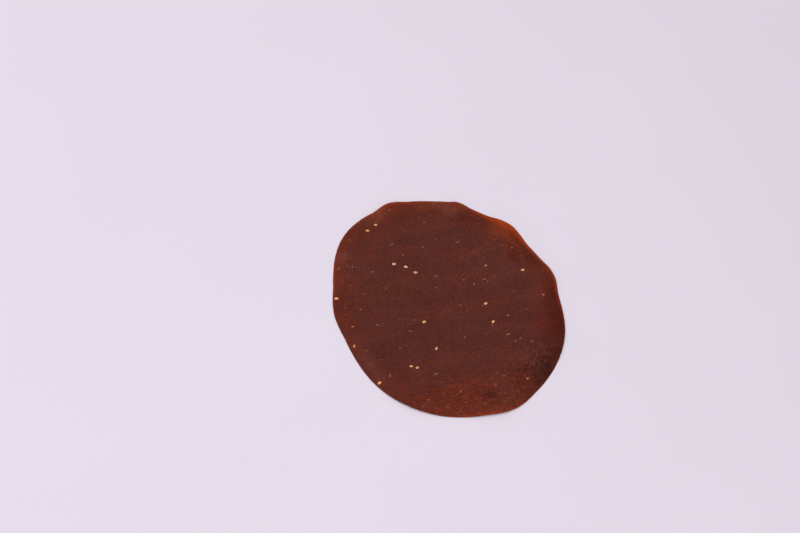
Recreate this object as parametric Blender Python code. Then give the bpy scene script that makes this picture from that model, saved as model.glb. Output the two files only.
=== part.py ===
"""A ragi rice papadum: a thin disc of millet and rice dough, rolled out and dried until leathery.

Sesame and cumin seeds are pressed into its top. It lies on its flat underside, its rim thinner
than its middle and curled a little off the table in places. Built in metres, +Z up, with the
origin on the table under the middle of the disc.
"""

import math
import random

import bmesh
import bpy
from mathutils import Matrix, Vector

MM = 0.001

# The disc, in mm
ROUND_RADIUS = 87.0
MIDDLE_THICKNESS = 1.05
RIM_THICKNESS = 0.65
EDGE_ROUNDING = 0.4

# Lobes where the roller pushed the dough farther out: bearing in degrees anticlockwise from +X,
# reach in mm, half width in degrees
OUTLINE_LOBES = (
    (28, 1.6, 38),
    (57, 2.6, 12),
    (89, 2.9, 14),
    (117, 1.5, 7),
    (154, 2.6, 11),
    (182, 4.2, 33),
    (226, 1.4, 15),
    (274, 3.7, 39),
    (333, 1.5, 18),
)

# Waves where the drying rim curled off the table: bearing, lift in mm, half width in degrees
RIM_WAVES = (
    (24, 1.8, 24),
    (61, 3.2, 25),
    (89, 2.6, 18),
    (119, 1.8, 16),
    (153, 3.0, 25),
    (283, 1.8, 24),
    (324, 2.4, 26),
)
WAVE_START = 0.58  # share of the radius where a wave begins to rise

# Bulges where the dough stands off the table just inside a rim that lies down: as above
BULGES = (
    (197, 1.2, 22),
    (255, 1.7, 28),
)
BULGE_MIDDLE = 0.86  # share of the radius where a bulge is highest
BULGE_REACH = 0.15  # share of the radius in which it falls away on either side

# Low ridges that the roller left across the top, in mm and degrees
ROLL_BEARING = 53
ROLL_SPACING = 31
ROLL_HEIGHT = 0.05

# Triangle lattice of the disc: rings from the middle out, and rows that round the edge off
RINGS = 24
EDGE_ROWS = 2

# Hulled sesame, in mm: how far a grain stands out of the dough and how far it goes in
SESAME_LENGTH = 3.3
SESAME_WIDTH = 1.95
SESAME_ABOVE = 0.5
SESAME_BELOW = 0.32
SESAME_SECTIONS = ((-0.36, 0.74), (-0.06, 1.0), (0.3, 0.62))  # place along it, share of its width

# Plain sesame grains: x and y in mm from the middle of the disc, bearing of the pointed end, size
SESAME_PLACES = (
    (-80, 10, 42, 1.0),
    (-78, 18, 42, 0.92),
    (-50, 0, 47, 1.0),
    (-42, 4, 36, 1.0),
    (-34, 5, 45, 1.05),
    (-67, -52, 45, 1.0),
    (-8, -25, 65, 1.05),
    (20, 19, 245, 1.0),
    (4, 47, 79, 0.78),
    (32, 10, 77, 1.0),
    (28, 63, 225, 0.95),
    (51, 56, 68, 0.78),
    (3, -61, 46, 0.96),
    (7, -59, 60, 0.92),
    (10, -37, 95, 0.96),
    (-8, -87, 253, 0.95),
    (-37, -75, 110, 0.82),
    (-46, -63, 38, 0.76),
    (75, -12, 63, 0.88),
    (38, 22, 216, 0.66),
    (59, -33, 40, 0.62),
    (41, -54, 102, 0.66),
    (6, 5, 50, 0.56),
    (-21, 13, 45, 0.58),
    (-33, -50, 40, 0.6),
    (63, 16, 35, 0.62),
    (12, 74, 60, 0.56),
    (-41, 27, 45, 0.56),
    (-49, 11, 60, 0.54),
    (-77, 35, 60, 0.58),
    (-54, 65, 30, 0.54),
    (26, -75, 55, 0.62),
    (33, 7, 60, 0.54),
    (12, 36, 0, 0.54),
    (5, 27, 40, 0.58),
)

# Cumin, sunk under a skin of dough
CUMIN_LENGTH = 4.6
CUMIN_WIDTH = 1.0
CUMIN_ABOVE = 0.22
CUMIN_BELOW = 0.3
CUMIN_SECTIONS = ((-0.28, 0.8), (0.0, 1.0), (0.28, 0.76))

# Plain cumin grains: as above
CUMIN_PLACES = (
    (46, 9, 60, 1.0),
    (55, 13, 77, 0.7),
    (53, 8, 81, 0.75),
    (9, 36, 66, 0.95),
    (32, 43, 65, 0.85),
    (-23, 49, 62, 1.0),
    (-51, 46, 54, 0.9),
    (-60, 13, 57, 0.9),
    (-79, -31, 75, 1.0),
    (-54, -36, 52, 0.85),
    (-12, -38, 46, 0.9),
    (20, -54, 69, 1.0),
    (-3, 25, 71, 0.7),
    (-14, -28, 64, 0.8),
)

# Fainter grains of both, scattered between the plain ones
FAINT_SESAME = 5
FAINT_SESAME_SIZE = (0.52, 0.66)
FAINT_CUMIN = 4
FAINT_CUMIN_SIZE = (0.7, 0.95)
CUMIN_SPREAD = 24  # degrees each way that cumin turns from the roller's path
SCATTER_REACH = 0.9  # share of the radius that scattered grains keep within
SCATTER_GAP = 7
SCATTER_SEED = 5

GRAIN_SIDES = 6

DOUGH = ((0.095, 0.024, 0.017), 0.45)
SESAME = ((0.72, 0.44, 0.22), 0.5)
CUMIN_SKIN = ((0.17, 0.075, 0.03), 0.5)


def bump(away, reach):
    """A smooth bump: 1 at its middle, and 0 from its reach onwards."""
    return 0.5 + 0.5 * math.cos(math.pi * min(abs(away) / reach, 1.0))


def swell(bearing, rows):
    """Height at a bearing of a row of bumps, each fading out at its half width."""
    total = 0.0
    for centre, height, half_width in rows:
        away = (bearing - centre + 180) % 360 - 180
        total += height * bump(away, half_width)
    return total


def outline_radius(bearing):
    return ROUND_RADIUS + swell(bearing, OUTLINE_LOBES)


def underside_height(bearing, share):
    """Height of the underside above the table, at a share of the radius."""
    rise = max(share - WAVE_START, 0.0) / (1 - WAVE_START)
    bulge = bump(share - BULGE_MIDDLE, BULGE_REACH)
    return swell(bearing, RIM_WAVES) * rise**2 + swell(bearing, BULGES) * bulge


def thickness(x, y, share):
    """Thickness of the dough, thinner towards the rim and uneven along the roller's path."""
    even = MIDDLE_THICKNESS - (MIDDLE_THICKNESS - RIM_THICKNESS) * min(share, 1.0) ** 3
    turn = math.radians(ROLL_BEARING)
    across = y * math.cos(turn) - x * math.sin(turn)
    return even + ROLL_HEIGHT * math.sin(2 * math.pi * across / ROLL_SPACING)


def top_point(x, y):
    """Point of the top face over a place on the disc, in mm."""
    bearing = math.degrees(math.atan2(y, x))
    share = math.hypot(x, y) / outline_radius(bearing)
    return Vector((x, y, underside_height(bearing, share) + thickness(x, y, share)))


def top_normal(x, y):
    """Direction that the top face looks in at a place on the disc."""
    step = 0.5
    along_x = top_point(x + step, y) - top_point(x - step, y)
    along_y = top_point(x, y + step) - top_point(x, y - step)
    return along_x.cross(along_y).normalized()


def make_material(name, finish):
    colour, roughness = finish
    material = bpy.data.materials.new(name)
    material.use_nodes = True
    shader = material.node_tree.nodes["Principled BSDF"]
    shader.inputs["Base Color"].default_value = (*colour, 1)
    shader.inputs["Roughness"].default_value = roughness
    shader.inputs["Metallic"].default_value = 0
    return material


def make_mesh(name, shape, material):
    mesh = bpy.data.meshes.new(name)
    shape.to_mesh(mesh)
    shape.free()
    mesh.materials.append(material)
    mesh.shade_smooth()
    return mesh


def ring_of_points(row, side):
    """One ring of the disc on its top face, side 1, or its underside, side -1, in mm."""
    count = max(6 * min(row, RINGS), 1)
    lean = math.pi / 2 * max(row - RINGS, 0) / EDGE_ROWS
    points = []
    for place in range(count):
        bearing = 360 * place / count
        full = outline_radius(bearing)
        inner = full - EDGE_ROUNDING
        radius = inner * min(row, RINGS) / RINGS + EDGE_ROUNDING * math.sin(lean)
        x = radius * math.cos(math.radians(bearing))
        y = radius * math.sin(math.radians(bearing))
        share = radius / full
        bottom = underside_height(bearing, share)
        half = thickness(x, y, share) / 2
        z = bottom + half + side * half * math.cos(lean)
        points.append(Vector((x, y, z)) * MM)
    return points


def band_of_triangles(inner, outer):
    """Triangles between two rings, the same for both faces so that the dough keeps its thickness."""
    if len(inner) == len(outer):
        for place in range(len(outer)):
            after = (place + 1) % len(outer)
            yield inner[place], outer[place], outer[after]
            yield inner[place], outer[after], inner[after]
        return
    outer_run = len(outer) // 6
    inner_run = outer_run - 1
    for sector in range(6):
        for step in range(outer_run):
            near = inner[(sector * inner_run + step) % len(inner)]
            first = outer[sector * outer_run + step]
            second = outer[(sector * outer_run + step + 1) % len(outer)]
            yield near, first, second
            if step < inner_run:
                yield near, second, inner[(sector * inner_run + step + 1) % len(inner)]


def build_disc():
    """The disc as one closed mesh: two faces on the same lattice, joined at a rounded edge."""
    shape = bmesh.new()
    last_row = RINGS + EDGE_ROWS
    edge_ring = [shape.verts.new(point) for point in ring_of_points(last_row, 1)]
    for side in (1, -1):
        inner = [shape.verts.new(point) for point in ring_of_points(0, side)]
        for row in range(1, last_row + 1):
            if row < last_row:
                outer = [shape.verts.new(point) for point in ring_of_points(row, side)]
            else:
                outer = edge_ring
            for triangle in band_of_triangles(inner, outer):
                shape.faces.new(triangle[::side])
            inner = outer
    return shape


def build_grain(length, width, above, below, sections):
    """A grain lying along X at the dough's surface, pointed at +X, lower than it is wide."""
    shape = bmesh.new()
    blunt_end = shape.verts.new((-0.5 * length * MM, 0, 0))
    point_end = shape.verts.new((0.5 * length * MM, 0, 0))
    rings = []
    for place, share in sections:
        ring = []
        for side in range(GRAIN_SIDES):
            angle = 2 * math.pi * side / GRAIN_SIDES
            height = above if math.sin(angle) > 0 else below
            y = 0.5 * width * share * math.cos(angle)
            z = height * share * math.sin(angle)
            ring.append(shape.verts.new((place * length * MM, y * MM, z * MM)))
        rings.append(ring)
    for side in range(GRAIN_SIDES):
        after = (side + 1) % GRAIN_SIDES
        shape.faces.new((blunt_end, rings[0][after], rings[0][side]))
        shape.faces.new((point_end, rings[-1][side], rings[-1][after]))
        for near, far in zip(rings, rings[1:]):
            shape.faces.new((near[side], near[after], far[after], far[side]))
    bmesh.ops.triangulate(shape, faces=shape.faces)
    return shape


def scattered_places(taken, count, draw):
    """Places on the disc drawn at random, each clear of the others by SCATTER_GAP."""
    places = []
    while len(places) < count:
        bearing = draw.uniform(0, 360)
        radius = SCATTER_REACH * outline_radius(bearing) * math.sqrt(draw.random())
        x = radius * math.cos(math.radians(bearing))
        y = radius * math.sin(math.radians(bearing))
        if all(math.hypot(x - a, y - b) > SCATTER_GAP for a, b in taken):
            places.append((x, y))
            taken.append((x, y))
    return places


def lay_grain(mesh, place, turn, size, collection):
    """A copy of a grain laid on the dough's top, along its slope."""
    grain = bpy.data.objects.new(mesh.name, mesh)
    slope = Vector((0, 0, 1)).rotation_difference(top_normal(*place)).to_matrix().to_4x4()
    spin = Matrix.Rotation(math.radians(turn), 4, "Z")
    on_top = Matrix.Translation(top_point(*place) * MM)
    grain.matrix_world = on_top @ slope @ spin @ Matrix.Scale(size, 4)
    collection.objects.link(grain)


def lay_grains(collection):
    """All the sesame and cumin, each laid where it shows on the top."""
    sesame_shape = build_grain(
        SESAME_LENGTH, SESAME_WIDTH, SESAME_ABOVE, SESAME_BELOW, SESAME_SECTIONS
    )
    sesame = make_mesh("sesame", sesame_shape, make_material("sesame", SESAME))
    cumin_shape = build_grain(CUMIN_LENGTH, CUMIN_WIDTH, CUMIN_ABOVE, CUMIN_BELOW, CUMIN_SECTIONS)
    cumin = make_mesh("cumin", cumin_shape, make_material("cumin", CUMIN_SKIN))

    for mesh, rows in ((sesame, SESAME_PLACES), (cumin, CUMIN_PLACES)):
        for x, y, turn, size in rows:
            lay_grain(mesh, (x, y), turn, size, collection)

    draw = random.Random(SCATTER_SEED)
    taken = [(x, y) for x, y, turn, size in SESAME_PLACES + CUMIN_PLACES]
    for place in scattered_places(taken, FAINT_SESAME, draw):
        turn = draw.uniform(0, 360)
        lay_grain(sesame, place, turn, draw.uniform(*FAINT_SESAME_SIZE), collection)
    for place in scattered_places(taken, FAINT_CUMIN, draw):
        turn = ROLL_BEARING + draw.uniform(-CUMIN_SPREAD, CUMIN_SPREAD)
        lay_grain(cumin, place, turn, draw.uniform(*FAINT_CUMIN_SIZE), collection)


def fuse(disc, grains):
    """Joins the grains to the disc as one solid, then removes the loose grains."""
    union = disc.modifiers.new("Grains", "BOOLEAN")
    union.operation = "UNION"
    union.operand_type = "COLLECTION"
    union.collection = grains
    union.solver = "EXACT"
    union.material_mode = "TRANSFER"
    bpy.context.view_layer.update()
    evaluated = disc.evaluated_get(bpy.context.evaluated_depsgraph_get())
    fused = bpy.data.meshes.new_from_object(evaluated)
    disc.modifiers.clear()
    disc.data = fused
    for grain in list(grains.objects):
        bpy.data.objects.remove(grain)
    bpy.data.collections.remove(grains)


def centre_on_table(disc):
    """Moves the shape so that its box is centred over the origin and stands on z = 0."""
    corners = [vertex.co for vertex in disc.data.vertices]
    middle_x = (min(c.x for c in corners) + max(c.x for c in corners)) / 2
    middle_y = (min(c.y for c in corners) + max(c.y for c in corners)) / 2
    disc.data.transform(Matrix.Translation((-middle_x, -middle_y, 0)))


for old in list(bpy.data.objects):
    bpy.data.objects.remove(old)

papadum = bpy.data.objects.new(
    "papadum", make_mesh("papadum", build_disc(), make_material("dough", DOUGH))
)
bpy.context.scene.collection.objects.link(papadum)
grain_collection = bpy.data.collections.new("grains")
bpy.context.scene.collection.children.link(grain_collection)
lay_grains(grain_collection)
fuse(papadum, grain_collection)
centre_on_table(papadum)
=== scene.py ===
import math
import random

import bpy
from mathutils import Matrix, Vector


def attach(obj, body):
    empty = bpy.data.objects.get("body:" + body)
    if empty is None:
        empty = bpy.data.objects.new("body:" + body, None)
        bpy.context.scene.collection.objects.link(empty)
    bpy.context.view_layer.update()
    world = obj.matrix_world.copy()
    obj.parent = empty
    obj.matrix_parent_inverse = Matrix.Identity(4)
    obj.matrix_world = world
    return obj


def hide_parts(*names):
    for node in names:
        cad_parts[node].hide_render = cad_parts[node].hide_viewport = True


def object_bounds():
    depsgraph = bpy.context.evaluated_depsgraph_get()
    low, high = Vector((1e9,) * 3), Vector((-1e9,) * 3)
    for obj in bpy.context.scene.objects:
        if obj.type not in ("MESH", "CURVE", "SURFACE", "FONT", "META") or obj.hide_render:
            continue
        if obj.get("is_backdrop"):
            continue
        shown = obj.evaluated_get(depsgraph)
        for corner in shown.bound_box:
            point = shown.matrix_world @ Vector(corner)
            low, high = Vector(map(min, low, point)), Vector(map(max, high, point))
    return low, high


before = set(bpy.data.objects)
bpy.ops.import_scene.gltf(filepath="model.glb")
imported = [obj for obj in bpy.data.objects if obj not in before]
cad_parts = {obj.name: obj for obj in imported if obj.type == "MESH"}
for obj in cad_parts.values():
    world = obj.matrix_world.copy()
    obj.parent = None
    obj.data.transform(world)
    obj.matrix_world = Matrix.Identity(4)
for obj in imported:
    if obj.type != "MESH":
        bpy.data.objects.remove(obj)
cad_low, cad_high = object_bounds()

# The outline of the disc and the places of the spices in it. Sesame, cumin and chilli are mixed
# into the paste and pressed flat with it by the roller, so each grain lies where it was caught.
# Sizes are in mm and bearings in degrees from +X, both from the middle of the disc.
MM = 0.001
ROUND_RADIUS = 87.0
OUTLINE_LOBES = (
    (28, 1.6, 38),
    (57, 2.6, 12),
    (89, 2.9, 14),
    (117, 1.5, 7),
    (154, 2.6, 11),
    (182, 4.2, 33),
    (226, 1.4, 15),
    (274, 3.7, 39),
    (333, 1.5, 18),
)
OUTLINE_STEPS = 144
ROLL_BEARING = 53

# x, y, the bearing of the pointed end, a size, and a tone from 0, pale, to 1, toasted or dark
SESAME_PLACES = (
    (-80, 10, 42, 1.0, 0.3),
    (-78, 18, 42, 0.92, 0.25),
    (-50, 0, 47, 1.0, 0.0),
    (-42, 4, 36, 1.0, 0.0),
    (-34, 5, 45, 1.05, 0.2),
    (-67, -52, 45, 1.0, 0.0),
    (-8, -25, 65, 1.05, 0.15),
    (20, 19, 245, 1.0, 0.1),
    (4, 47, 79, 0.78, 0.55),
    (32, 10, 77, 1.0, 0.15),
    (28, 63, 225, 0.95, 0.15),
    (51, 56, 68, 0.78, 0.8),
    (3, -61, 46, 0.96, 0.3),
    (7, -59, 60, 0.92, 0.2),
    (10, -37, 95, 0.96, 0.2),
    (-8, -87, 253, 0.95, 0.05),
    (-37, -75, 110, 0.82, 0.4),
    (-46, -63, 38, 0.76, 0.85),
    (75, -12, 63, 0.88, 0.8),
    (38, 22, 216, 0.66, 0.0),
    (59, -33, 40, 0.62, 0.3),
    (41, -54, 102, 0.66, 0.7),
    (6, 5, 50, 0.56, 0.1),
    (-21, 13, 45, 0.58, 0.2),
    (-33, -50, 40, 0.6, 0.0),
    (63, 16, 35, 0.62, 0.1),
    (12, 74, 60, 0.56, 0.2),
    (-41, 27, 45, 0.56, 0.1),
    (-49, 11, 60, 0.54, 0.2),
    (-77, 35, 60, 0.58, 0.3),
    (-54, 65, 30, 0.54, 0.2),
    (26, -75, 55, 0.62, 0.6),
    (33, 7, 60, 0.54, 0.3),
    (12, 36, 0, 0.54, 0.1),
    (5, 27, 40, 0.58, 0.0),
)
CUMIN_PLACES = (
    (46, 9, 60, 1.0, 0.1),
    (55, 13, 77, 0.7, 0.4),
    (53, 8, 81, 0.75, 0.3),
    (9, 36, 66, 0.95, 0.3),
    (32, 43, 65, 0.85, 0.6),
    (-23, 49, 62, 1.0, 0.4),
    (-51, 46, 54, 0.9, 0.6),
    (-60, 13, 57, 0.9, 0.5),
    (-79, -31, 75, 1.0, 0.4),
    (-54, -36, 52, 0.85, 0.7),
    (-12, -38, 46, 0.9, 0.6),
    (20, -54, 69, 1.0, 0.3),
    (-3, 25, 71, 0.7, 0.1),
    (-14, -28, 64, 0.8, 0.5),
)
FAINT_SESAME = 5
FAINT_SESAME_SIZE = (0.52, 0.66)
FAINT_SESAME_TONE = 0.4
FAINT_CUMIN = 4
FAINT_CUMIN_SIZE = (0.7, 0.95)
FAINT_CUMIN_TONE = 0.8
CUMIN_SPREAD = 24
CHILLI_PLACES = (
    (-11, -54, 20, 1.0, 0.0),
    (70, -19, 140, 0.8, 1.0),
)
SCATTER_REACH = 0.9
SCATTER_GAP = 7
SCATTER_SEED = 5


def bump(away, reach):
    """A smooth bump: 1 at its middle, and 0 from its reach onwards."""
    return 0.5 + 0.5 * math.cos(math.pi * min(abs(away) / reach, 1.0))


def swell(bearing, rows):
    """Height at a bearing of a row of bumps, each fading out at its half width."""
    total = 0.0
    for centre, height, half_width in rows:
        total += height * bump((bearing - centre + 180) % 360 - 180, half_width)
    return total


def outline_radius(bearing):
    return ROUND_RADIUS + swell(bearing, OUTLINE_LOBES)


def outline_point(bearing):
    turn = math.radians(bearing)
    return Vector((math.cos(turn), math.sin(turn), 0)) * outline_radius(bearing)


def scattered_places(taken, count, draw):
    """Places on the disc drawn at random, each clear of the others by SCATTER_GAP."""
    places = []
    while len(places) < count:
        bearing = draw.uniform(0, 360)
        radius = SCATTER_REACH * outline_radius(bearing) * math.sqrt(draw.random())
        x = radius * math.cos(math.radians(bearing))
        y = radius * math.sin(math.radians(bearing))
        if all(math.hypot(x - a, y - b) > SCATTER_GAP for a, b in taken):
            places.append((x, y))
            taken.append((x, y))
    return places


def mark_places(name, rows):
    """A loose point for each grain, which carries its turn, size and tone as attributes."""
    mesh = bpy.data.meshes.new(name)
    mesh.from_pydata([(Vector((x, y, 0)) + disc_middle) * MM for x, y, turn, size, tone in rows], [], [])
    columns = {
        "turn": [math.radians(turn) for x, y, turn, size, tone in rows],
        "size": [size for x, y, turn, size, tone in rows],
        "tone": [tone for x, y, turn, size, tone in rows],
    }
    for label, values in columns.items():
        mesh.attributes.new(label, "FLOAT", "POINT").data.foreach_set("value", values)
    marks = bpy.data.objects.new(name, mesh)
    bpy.context.scene.collection.objects.link(marks)
    return marks


# The part's origin is the middle of the disc's box, so the disc's own middle is a little off it
outline = [outline_point(360 * step / OUTLINE_STEPS) for step in range(OUTLINE_STEPS)]
xs = [p.x for p in outline]
ys = [p.y for p in outline]
disc_middle = -Vector((min(xs) + max(xs), min(ys) + max(ys), 0)) / 2

draw = random.Random(SCATTER_SEED)
taken = [(x, y) for x, y, turn, size, tone in SESAME_PLACES + CUMIN_PLACES]
sesame_rows = list(SESAME_PLACES)
for x, y in scattered_places(taken, FAINT_SESAME, draw):
    turn = draw.uniform(0, 360)
    sesame_rows.append((x, y, turn, draw.uniform(*FAINT_SESAME_SIZE), FAINT_SESAME_TONE))
cumin_rows = list(CUMIN_PLACES)
for x, y in scattered_places(taken, FAINT_CUMIN, draw):
    turn = ROLL_BEARING + draw.uniform(-CUMIN_SPREAD, CUMIN_SPREAD)
    cumin_rows.append((x, y, turn, draw.uniform(*FAINT_CUMIN_SIZE), FAINT_CUMIN_TONE))
sesame_marks = mark_places("sesame_marks", sesame_rows)
cumin_marks = mark_places("cumin_marks", cumin_rows)
chilli_marks = mark_places("chilli_marks", CHILLI_PLACES)

# The disc of dough: ragi and rice flour boiled to a paste, rolled out thin and dried until it is
# leathery. It is thinner at the rim, which curled a little off the table and lets light through.
# Both faces are made by one rule of bearing and radius, and sewn together round the edge.
MIDDLE_THICKNESS = 1.05
RIM_THICKNESS = 0.65
EDGE_ROUNDING = 0.4
EDGE_UNEVENNESS = 0.5
EDGE_SWINGS = 14.0
RIM_WAVES = (
    (24, 1.8, 24),
    (61, 3.2, 25),
    (89, 2.6, 18),
    (119, 1.8, 16),
    (153, 3.0, 25),
    (283, 1.8, 24),
    (324, 2.4, 26),
)
WAVE_START = 0.58
BULGES = (
    (197, 1.2, 22),
    (255, 1.7, 28),
)
BULGE_MIDDLE = 0.86
BULGE_REACH = 0.15
ROLL_SPACING = 31
ROLL_HEIGHT = 0.05
DIMPLE_SIZE = 11
DIMPLE_DEPTH = 0.25
STREAK_SIZE = (45, 3)
STREAK_DEPTH = 0.1
PUCKER_BEARING = -45
PUCKER_SPREAD = 58
PUCKER_SIZE = (9.0, 3.2)
PUCKER_DEPTH = 0.25
COLLAR_HEIGHT = 0.1
SESAME_COLLAR = (0.8, 0.7, 2.3)
CUMIN_COLLAR = (1.7, 0.3, 1.6)
RELIEF_FADE = (0.3, 5.0)
LATTICE_ROWS = 110
EDGE_ROWS = 5
SEAM_GAP = 0.005
DIAGONAL_MARGIN = 1e-5

# Stretches of the rim with pale wrinkles, with a painted glow of light through the thin dough, and with
# painted shade: bearing, strength, half width
# Pale wrinkles; at bearing 198 they are painted sheen
PALE_WRINKLE_STRETCHES = (
    (4, 1.0, 24),
    (-22, 0.75, 16),
    (198, 0.8, 13),
)
# Where the painted glow of light through the thin rim is strongest
GLOW_STRETCHES = (
    (-42, 0.5, 34),
    (52, 0.6, 40),
    (92, 1.3, 34),
    (150, 0.7, 45),
    (205, 0.45, 40),
)
# Where painted shade darkens the rim
SHADED_STRETCHES = (
    (21, 1.0, 46),
    (50, 0.45, 20),
    (69, 0.8, 13),
    (103, 0.8, 9),
    (146, 0.7, 11),
    (224, 0.45, 11),
)

# The dough's colours, and the mm size of each kind of mark; a long mark has a length and a width
DOUGH_MIDDLE = (0.0905, 0.0157, 0.009)
# Warm tone of the streaks and bands, also used for the painted glow of light through the thin rim
DOUGH_WARM_AND_GLOW = (0.136, 0.0202, 0.0075)
# Orange of a few streaks, also used for the painted glow of light through the thin edge
DOUGH_ORANGE_AND_GLOW = (0.3, 0.035, 0.003)
DOUGH_BROWNED = (0.18, 0.028, 0.007)
# Pale wrinkles, partly painted sheen
DOUGH_PALE_WRINKLE = (0.45, 0.2, 0.18)
# Dark colour, mostly for painted shade
DOUGH_SHADE_DARK = (0.03, 0.004, 0.002)
# Painted shade: the dough's red without the grey sheen it has elsewhere
DOUGH_SHADE_NO_SHEEN = (0.105, 0.0095, 0.001)
DOUGH_OLIVE = (0.103, 0.024, 0.005)
# Painted sheen
DOUGH_PAINTED_SHEEN = (0.4, 0.15, 0.09)
DOUGH_GREYED = (0.082, 0.023, 0.016)
DOUGH_HUSK = (0.04, 0.008, 0.006)
SEED_CRUMB = (0.45, 0.2, 0.12)
# Flour bloom, also used for painted sheen and painted glints
FLOUR_AND_SHEEN = (0.42, 0.34, 0.34)
TONE_STREAK = (38.0, 2.4)
TONE_BAND = (110.0, 13.0)
TONE_GRAIN = (2.2, 1.0)
HAIR_STREAK = (18.0, 0.9)
BLOTCH_SIZE = (9.0, 2.0)
WRINKLE_SIZE = (3.5, 1.2)
WRINKLE_BEARING = 118
GREYED_SIZE = 8.0
FRAY_SIZE = 9.0
HUSK_SIZE = 0.8
CRUMB_SPACING = 7.0
# Painted glints among the puckers
GLINT_FLECK_SIZE = 1.1
WORN_SIZE = 7.0
GREYED_SHARE = 0.3
# How far the painted shade darkens the rim
SHADE_SHARE = 0.5
PALE_WRINKLE_SHARE = 0.1
BLOOM_SHARE = 0.03
BAND_SHARE = 0.8

# Fades between two insets from the rim in mm, or between two shares of the radius
# These two fade in the painted glow of light through the thin rim
WARM_GLOW_RIM = (34.0, 3.0)
WARMEST_GLOW_RIM = (15.0, 1.0)
DUSTY_MIDDLE = (2.0, 24.0)
# This fades the painted shade along the rim
SHADED_RIM = (19.0, 4.0)
PUCKERED_FROM = (0.5, 0.8)
PALE_WRINKLE_FROM = (0.62, 0.82)
PALE_WRINKLE_UP_TO = (0.99, 0.88)

# The two values of noise, or of a band, between which each kind of mark comes in
STREAKED_BAND = (0.0, 0.2)
HAIRY_BAND = (-0.05, 0.1)
GREYED_NOISE = (0.36, 0.64)
BLOTCH_NOISE = (0.48, 0.68)
WRINKLE_NOISE = (0.45, 0.7)
HAIR_NOISE = (0.6, 0.74)
HUSK_NOISE = (0.72, 0.8)
BLOOM_NOISE = (0.4, 0.7)
# Painted glints among the puckers
GLINT_FLECK_NOISE = (0.52, 0.72)
CRUMB_CHOICE = (0.9, 1.02)
CRUMB_REACH = (0.065, 0.035)

# The size and depth in mm of the grain, then of the leathery relief under it
DOUGH_RELIEF = (0.7, 0.04, 3.0, 0.08)
WRINKLE_DEPTH = 0.1
STREAK_RELIEF = 0.04

# How much a thing adds where it is strongest, and what there is without it
# How strongly the painted glow of light through the thin rim warms the dough
WARM_BY_GLOW = (0.55, 0.22)
STREAKED_BY_BAND = (0.9, 0.4)
DUSTY_BY_INSET = (0.75, 0.25)
DUSTY_BY_PUCKERS = (-0.7, 1.0)
FRAYED_BY_NOISE = (1.2, -0.6)
# The width and share of the painted glow at the very edge
EDGE_GLOW_WIDTH = (5.0, 0.5)
EDGE_GLOW_SHARE = (0.8, 0.12)
HAIRY_BY_PUCKERS = (-0.5, 0.65)
# Painted glints among the puckers
GLINTS_BY_PUCKERS = (0.05, 0.008)
ROUGH_BY_WEAR = (0.3, 0.28)
DOUGH_GLOSS = 0.12

# The size of each kind of light and dark, in mm or in its own marks, and its strength
GRAIN_TONE = (1.1, 0.9)
GRIT_TONE = (1.3, 1.7)
SPOT_TONE = (3.0, 0.4)
BAND_TONE = (1.0, 0.35)
CLOUD_TONE = (14.0, 0.3)
PALE_WRINKLE_TONE = (1.0, 0.55)

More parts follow.
